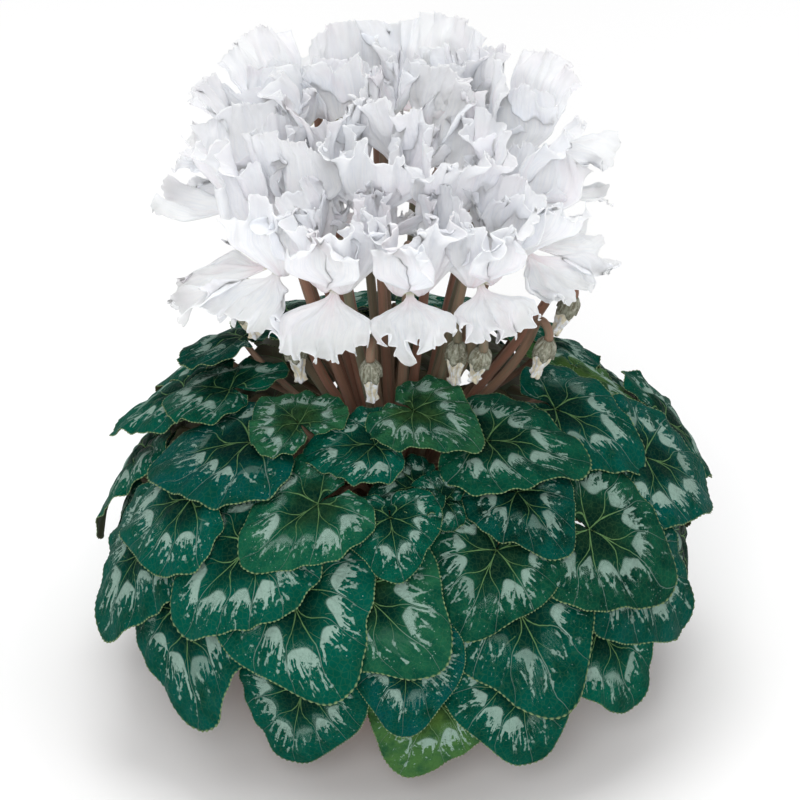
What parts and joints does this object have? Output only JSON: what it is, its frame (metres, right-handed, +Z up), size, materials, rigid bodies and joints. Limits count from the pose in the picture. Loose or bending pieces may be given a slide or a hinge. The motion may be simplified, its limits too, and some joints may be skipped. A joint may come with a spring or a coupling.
{
  "type": "potted cyclamen",
  "caption": "Flowering cyclamen in a plain clay pot: a dome of heart-shaped leaves under a dense head of white fringed blooms on nodding stalks.",
  "frame": {"origin": "middle of the pot's underside", "axes": "+Z up along the pot's axis, -Y towards the plant's front, +X to the right as seen from the front"},
  "size_m": [0.3744, 0.387, 0.4026],
  "materials": {
    "terracotta": "matt fired clay, faintly banded",
    "soil": "dark moist potting soil, rough",
    "stalk": "red-brown skin with a soft sheen",
    "leaf": "deep blue-green with a soft sheen",
    "petal": "white, thin and slightly translucent"
  },
  "bodies": {
    "root": {"flower_01": "petal", "flower_02": "petal", "flower_03": "petal", "flower_04": "petal", "flower_05": "petal", "flower_06": "petal", "flower_07": "petal", "flower_08": "petal", "flower_09": "petal", "flower_10": "petal", "flower_11": "petal", "flower_12": "petal", "flower_13": "petal", "flower_14": "petal", "flower_15": "petal", "flower_16": "petal", "flower_17": "petal", "flower_18": "petal", "leaf_01": "leaf", "leaf_02": "leaf", "leaf_03": "leaf", "leaf_04": "leaf", "leaf_05": "leaf", "leaf_06": "leaf", "leaf_08": "leaf", "leaf_09": "leaf", "leaf_10": "leaf", "leaf_11": "leaf", "leaf_12": "leaf", "leaf_13": "leaf", "leaf_14": "leaf", "leaf_15": "leaf", "leaf_16": "leaf", "leaf_17": "leaf", "leaf_18": "leaf", "leaf_19": "leaf", "leaf_20": "leaf", "leaf_21": "leaf", "leaf_22": "leaf", "leaf_23": "leaf", "leaf_24": "leaf", "leaf_25": "leaf", "leaf_26": "leaf", "leaf_29": "leaf", "leaf_33": "leaf", "leaves_a": "leaf", "leaves_b": "leaf", "leaves_c": "leaf", "leaves_d": "leaf", "leaves_e": "leaf", "leaves_f": "leaf", "leaves_g": "leaf", "leaves_h": "leaf", "leaves_i": "leaf", "leaves_j": "leaf", "leaves_k": "leaf", "pot": "terracotta", "soil": "soil", "tuber_and_stalks": "stalk"}
  },
  "joints": []
}
